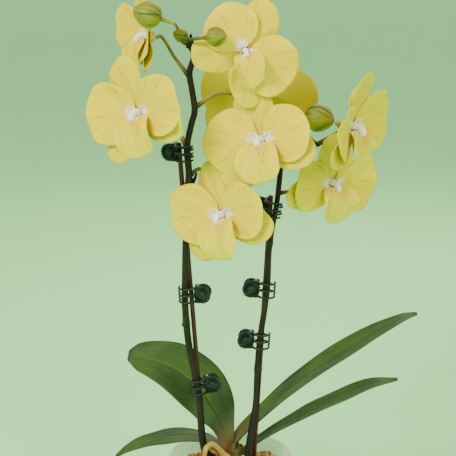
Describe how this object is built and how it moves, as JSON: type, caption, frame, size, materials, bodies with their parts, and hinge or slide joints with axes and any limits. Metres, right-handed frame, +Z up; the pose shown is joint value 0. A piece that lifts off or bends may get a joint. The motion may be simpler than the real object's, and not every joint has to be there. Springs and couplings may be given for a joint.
{
  "type": "potted orchid",
  "caption": "Yellow moth orchid in a round plastic growing pot, its arching flower spikes tied to stakes with small spring clips.",
  "frame": {"origin": "middle of the pot's flat underside", "axes": "+Z up along the pot's axis; the flowers face -Y"},
  "size_m": [0.2239, 0.1, 0.4167],
  "materials": {
    "pot": "thin translucent moulded plastic",
    "bark": "coarse broken bark",
    "root": "dry papery aerial root",
    "crown": "living plant tissue, dull",
    "leaf": "living leaf, waxy satin",
    "spike": "living stem, satin",
    "stake": "coated support stick, satin",
    "clip": "moulded, glossy",
    "pin": "drawn wire",
    "sepal": "living petal tissue, velvety",
    "petal": "living petal tissue, velvety",
    "lip": "living petal tissue, waxy",
    "bud": "living bud, satin"
  },
  "bodies": {
    "plant": {"bark_bed": "bark", "bud_1": "bud", "bud_2": "bud", "bud_3": "bud", "bud_4": "bud", "clip_1_back": "clip", "clip_1_pin": "pin", "clip_2_back": "clip", "clip_2_pin": "pin", "clip_3_back": "clip", "clip_3_pin": "pin", "clip_4_back": "clip", "clip_4_pin": "pin", "clip_5_back": "clip", "clip_5_pin": "pin", "clip_6_back": "clip", "clip_6_pin": "pin", "crown": "crown", "flower_1_lip": "lip", "flower_1_petals": "petal", "flower_1_sepals": "sepal", "flower_2_lip": "lip", "flower_2_petals": "petal", "flower_2_sepals": "sepal", "flower_3_lip": "lip", "flower_3_petals": "petal", "flower_3_sepals": "sepal", "flower_4_lip": "lip", "flower_4_petals": "petal", "flower_4_sepals": "sepal", "flower_5_lip": "lip", "flower_5_petals": "petal", "flower_5_sepals": "sepal", "flower_6_lip": "lip", "flower_6_petals": "petal", "flower_6_sepals": "sepal", "flower_7_lip": "lip", "flower_7_petals": "petal", "flower_7_sepals": "sepal", "flower_8_lip": "lip", "flower_8_petals": "petal", "flower_8_sepals": "sepal", "leaf_1": "leaf", "leaf_2": "leaf", "leaf_3": "leaf", "leaf_4": "leaf", "pot": "pot", "root_1": "root", "root_2": "root", "root_3": "root", "spike_left": "spike", "spike_right": "spike", "stake_left": "stake", "stake_right": "stake"},
    "clip_1_front": {"clip_1_front": "clip"},
    "clip_2_front": {"clip_2_front": "clip"},
    "clip_3_front": {"clip_3_front": "clip"},
    "clip_4_front": {"clip_4_front": "clip"},
    "clip_5_front": {"clip_5_front": "clip"},
    "clip_6_front": {"clip_6_front": "clip"}
  },
  "joints": [
    {"name": "clip_1_jaw", "type": "hinge", "parent": "plant", "child": "clip_1_front", "pos_m": [-0.03608, 0.00624, 0.30991], "axis": [0.0175, 0, -0.9998], "range_deg": [0, 35], "stiffness_Nm_per_rad": 0.004, "springref_deg": -17.19},
    {"name": "clip_2_jaw", "type": "hinge", "parent": "plant", "child": "clip_2_front", "pos_m": [-0.02243, 0.00052, 0.21386], "axis": [-0.0523, 0, 0.9986], "range_deg": [0, 35], "stiffness_Nm_per_rad": 0.004, "springref_deg": -17.19},
    {"name": "clip_3_jaw", "type": "hinge", "parent": "plant", "child": "clip_3_front", "pos_m": [-0.01613, 0.00136, 0.14795], "axis": [-0.1392, 0, 0.9903], "range_deg": [0, 35], "stiffness_Nm_per_rad": 0.004, "springref_deg": -17.19},
    {"name": "clip_4_jaw", "type": "hinge", "parent": "plant", "child": "clip_4_front", "pos_m": [0.02398, 0.00735, 0.27305], "axis": [-0.1392, 0, -0.9903], "range_deg": [0, 35], "stiffness_Nm_per_rad": 0.004, "springref_deg": -17.19},
    {"name": "clip_5_jaw", "type": "hinge", "parent": "plant", "child": "clip_5_front", "pos_m": [0.01705, 0.00162, 0.21736], "axis": [-0.0523, 0, -0.9986], "range_deg": [0, 35], "stiffness_Nm_per_rad": 0.004, "springref_deg": -17.19},
    {"name": "clip_6_jaw", "type": "hinge", "parent": "plant", "child": "clip_6_front", "pos_m": [0.01363, 0.00138, 0.18086], "axis": [-0.0523, 0, -0.9986], "range_deg": [0, 35], "stiffness_Nm_per_rad": 0.004, "springref_deg": -17.19}
  ]
}
